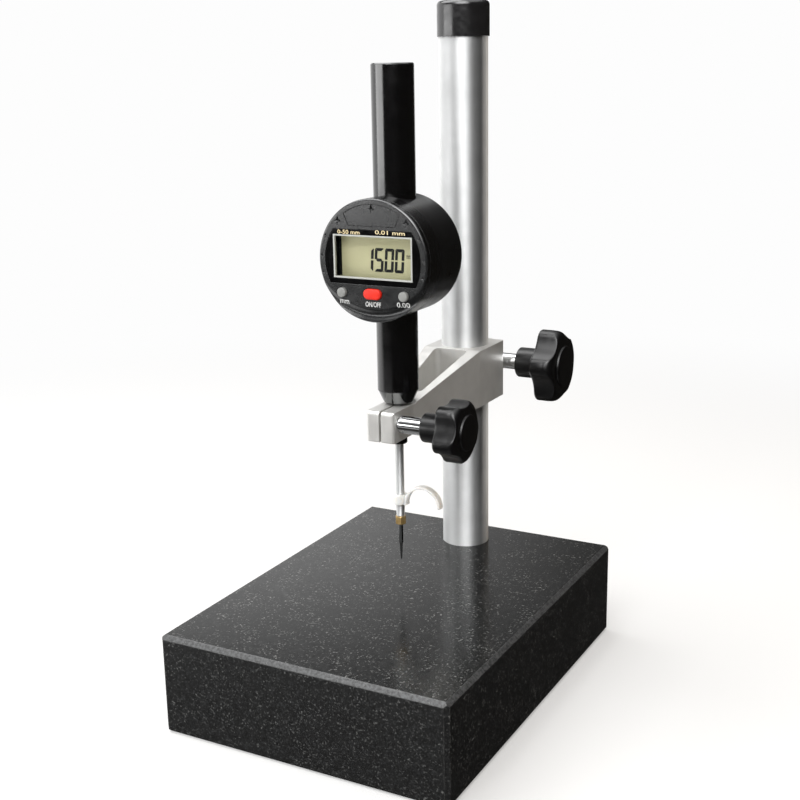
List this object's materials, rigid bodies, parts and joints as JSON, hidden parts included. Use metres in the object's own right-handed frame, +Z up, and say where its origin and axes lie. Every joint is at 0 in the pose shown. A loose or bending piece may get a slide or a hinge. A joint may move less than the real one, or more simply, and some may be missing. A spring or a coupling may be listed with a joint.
{
  "type": "digital height gauge",
  "caption": "Digital indicator with a sprung spindle, clamped in a sliding arm on a column above a granite measuring table; star knobs lock the arm and the stem.",
  "frame": {"origin": "centre of the granite's underside, straight below the contact point", "axes": "+Z up along the column and the spindle, -Y towards the display and the front, +X to the knobs' side"},
  "size_m": [0.15, 0.2162, 0.3358],
  "materials": {
    "granite": "fine ground, pale specks",
    "steel": "ground and polished",
    "steel_dark": "plain",
    "stem_steel": "ground",
    "chrome": "polished",
    "blasted_aluminium": "bead blasted",
    "black_plastic": "satin",
    "case_plastic": "satin",
    "face_plastic": "matte",
    "window_black": "gloss",
    "black_enamel": "gloss",
    "white_plastic": "satin",
    "milky_plastic": "translucent",
    "lens": "clear",
    "lcd": "satin",
    "rubber": "matte",
    "board": "satin",
    "brass": "turned",
    "grey_button": "satin",
    "red_button": "satin"
  },
  "bodies": {
    "stand": {"granite_base": "granite", "column": "steel", "column_cap": "black_plastic", "column_bolt": "steel_dark", "column_washer": "steel_dark"},
    "arm": {"arm_bracket": "blasted_aluminium"},
    "column_clamp": {"column_screw": "chrome", "column_knob": "black_plastic"},
    "stem_clamp": {"stem_screw": "chrome", "stem_knob": "black_plastic"},
    "indicator": {"rear_case": "case_plastic", "back_cover": "case_plastic", "cover_screws": "steel_dark", "front_case": "face_plastic", "battery_cover": "face_plastic", "battery": "steel", "battery_contact": "brass", "window_mask": "window_black", "display_frame": "white_plastic", "display_lens": "lens", "lcd_panel": "lcd", "zebra_strips": "rubber", "circuit_board": "board", "switches": "case_plastic", "upper_barrel": "black_enamel", "barrel_plug": "black_plastic", "lower_barrel": "black_enamel", "stem": "stem_steel", "lower_bush": "brass", "upper_bush": "brass", "guide_rod": "steel", "return_spring": "steel"},
    "plunger": {"spindle": "steel", "scale_carrier": "case_plastic", "scale_strip": "board", "spring_seat": "steel_dark", "lift_lever": "milky_plastic", "chuck_nut": "brass", "contact_point": "stem_steel"},
    "unit_key": {"unit_button": "grey_button"},
    "power_key": {"power_button": "red_button"},
    "zero_key": {"zero_button": "grey_button"}
  },
  "joints": [
    {"name": "arm_slide", "type": "slide", "parent": "stand", "child": "arm", "axis": [0, 0, 1], "range_m": [0, 0.15]},
    {"name": "column_knob_turn", "type": "hinge", "parent": "arm", "child": "column_clamp", "pos_m": [0.035, 0.0981, 0.1478], "axis": [1, 0, 0], "range_deg": [0, 540]},
    {"name": "stem_knob_turn", "type": "hinge", "parent": "arm", "child": "stem_clamp", "pos_m": [0.03, -0.0128, 0.1396], "axis": [1, 0, 0], "range_deg": [0, 540]},
    {"name": "indicator_turn", "type": "hinge", "parent": "arm", "child": "indicator", "pos_m": [0, 0, 0.14], "axis": [0, 0, 1], "continuous": true},
    {"name": "spindle_slide", "type": "slide", "parent": "indicator", "child": "plunger", "axis": [0, 0, 1], "range_m": [-0.0147, 0.0245], "stiffness_N_per_m": 20, "springref_m": -0.06, "deforming": ["return_spring"]},
    {"name": "unit_button_press", "type": "slide", "parent": "indicator", "child": "unit_key", "axis": [0, 1, 0], "range_m": [0, 0.0008], "stiffness_N_per_m": 800},
    {"name": "power_button_press", "type": "slide", "parent": "indicator", "child": "power_key", "axis": [0, 1, 0], "range_m": [0, 0.0008], "stiffness_N_per_m": 800},
    {"name": "zero_button_press", "type": "slide", "parent": "indicator", "child": "zero_key", "axis": [0, 1, 0], "range_m": [0, 0.0008], "stiffness_N_per_m": 800}
  ]
}
